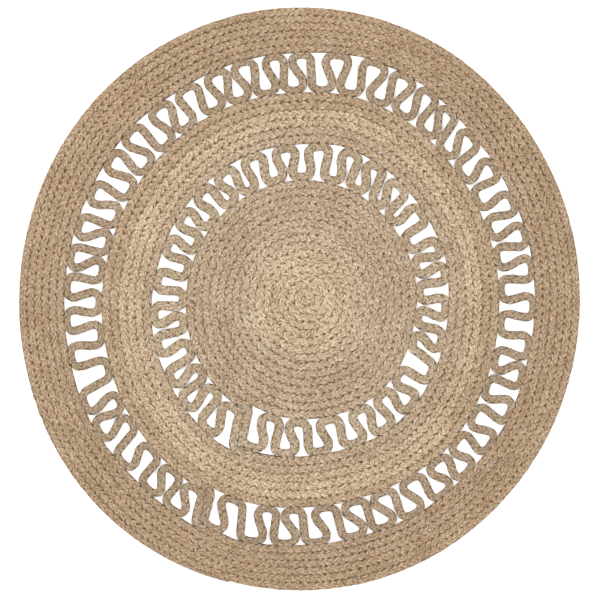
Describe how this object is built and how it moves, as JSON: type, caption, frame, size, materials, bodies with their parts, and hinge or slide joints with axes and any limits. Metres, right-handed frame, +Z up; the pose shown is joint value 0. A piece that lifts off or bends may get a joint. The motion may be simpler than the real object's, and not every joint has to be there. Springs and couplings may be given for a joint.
{
  "type": "area rug",
  "caption": "Round area rug of hand-braided natural jute: coiled centre and bands joined by openwork rings of looped braid.",
  "frame": {"origin": "bottom centre of the whole rug's bounding box, on the floor", "axes": "+Z up out of the rug's face, +Y along its slightly longer diameter, +X to the right"},
  "size_m": [1.1714, 1.2174, 0.0092],
  "materials": {
    "jute_pale": "matt dry fibre",
    "jute_straw": "matt dry fibre",
    "jute_tan": "matt dry fibre",
    "jute_brown": "matt dry fibre",
    "lacing_thread": "matt dry fibre"
  },
  "bodies": {
    "root": {"centre_coil_heart": "jute_pale", "centre_coil_surround": "jute_straw", "inner_loop_braid": "jute_tan", "middle_coil_inner": "jute_straw", "middle_coil_pale": "jute_pale", "middle_coil_outer": "jute_tan", "outer_loop_braid": "jute_tan", "outer_coil_inner": "jute_brown", "outer_coil_rim": "jute_brown", "centre_lacing": "lacing_thread", "middle_lacing": "lacing_thread", "outer_lacing": "lacing_thread"}
  },
  "joints": []
}
